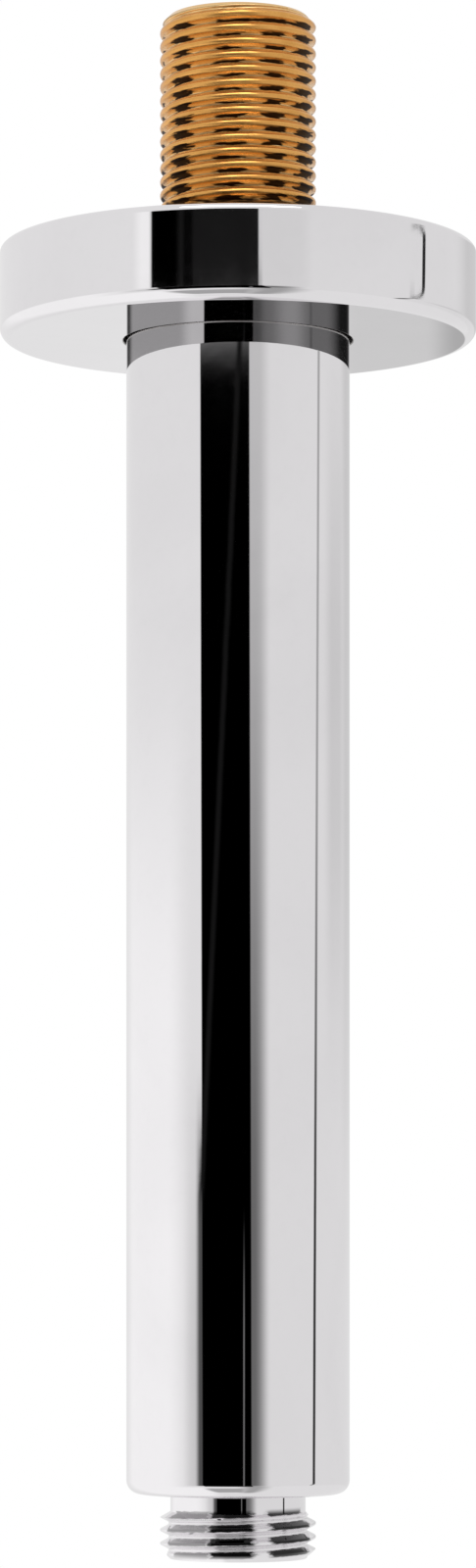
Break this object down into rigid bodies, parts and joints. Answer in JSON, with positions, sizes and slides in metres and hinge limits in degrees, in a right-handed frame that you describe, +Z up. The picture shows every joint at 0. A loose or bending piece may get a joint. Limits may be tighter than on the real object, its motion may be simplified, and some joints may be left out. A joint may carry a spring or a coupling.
{
  "type": "ceiling spout",
  "caption": "Ceiling-mounted shower spout: a straight chromed tube with a threaded brass inlet, a loose sliding ceiling flange and a short threaded outlet.",
  "frame": {"origin": "on the spout's axis at the ceiling plane, where the inlet thread starts and the flange's rim lies", "axes": "+Z up along the axis, into the ceiling; X and Y are level, and the spout is round about Z"},
  "size_m": [0.064, 0.064, 0.2067],
  "materials": {
    "chrome": "polished",
    "brass": "satin",
    "rubber": "matte"
  },
  "bodies": {
    "spout": {"spout_tube": "chrome", "inlet_nipple": "brass", "outlet_nipple": "chrome"},
    "grip_ring": {"flange_grip_ring": "rubber"},
    "flange": {"ceiling_flange": "chrome"}
  },
  "joints": [
    {"name": "flange_slide", "type": "slide", "parent": "spout", "child": "grip_ring", "axis": [0, 0, 1], "range_m": [-0.15, 0]},
    {"name": "flange_turn", "type": "hinge", "parent": "grip_ring", "child": "flange", "pos_m": [0, 0, 0], "axis": [0, 0, 1], "continuous": true}
  ]
}
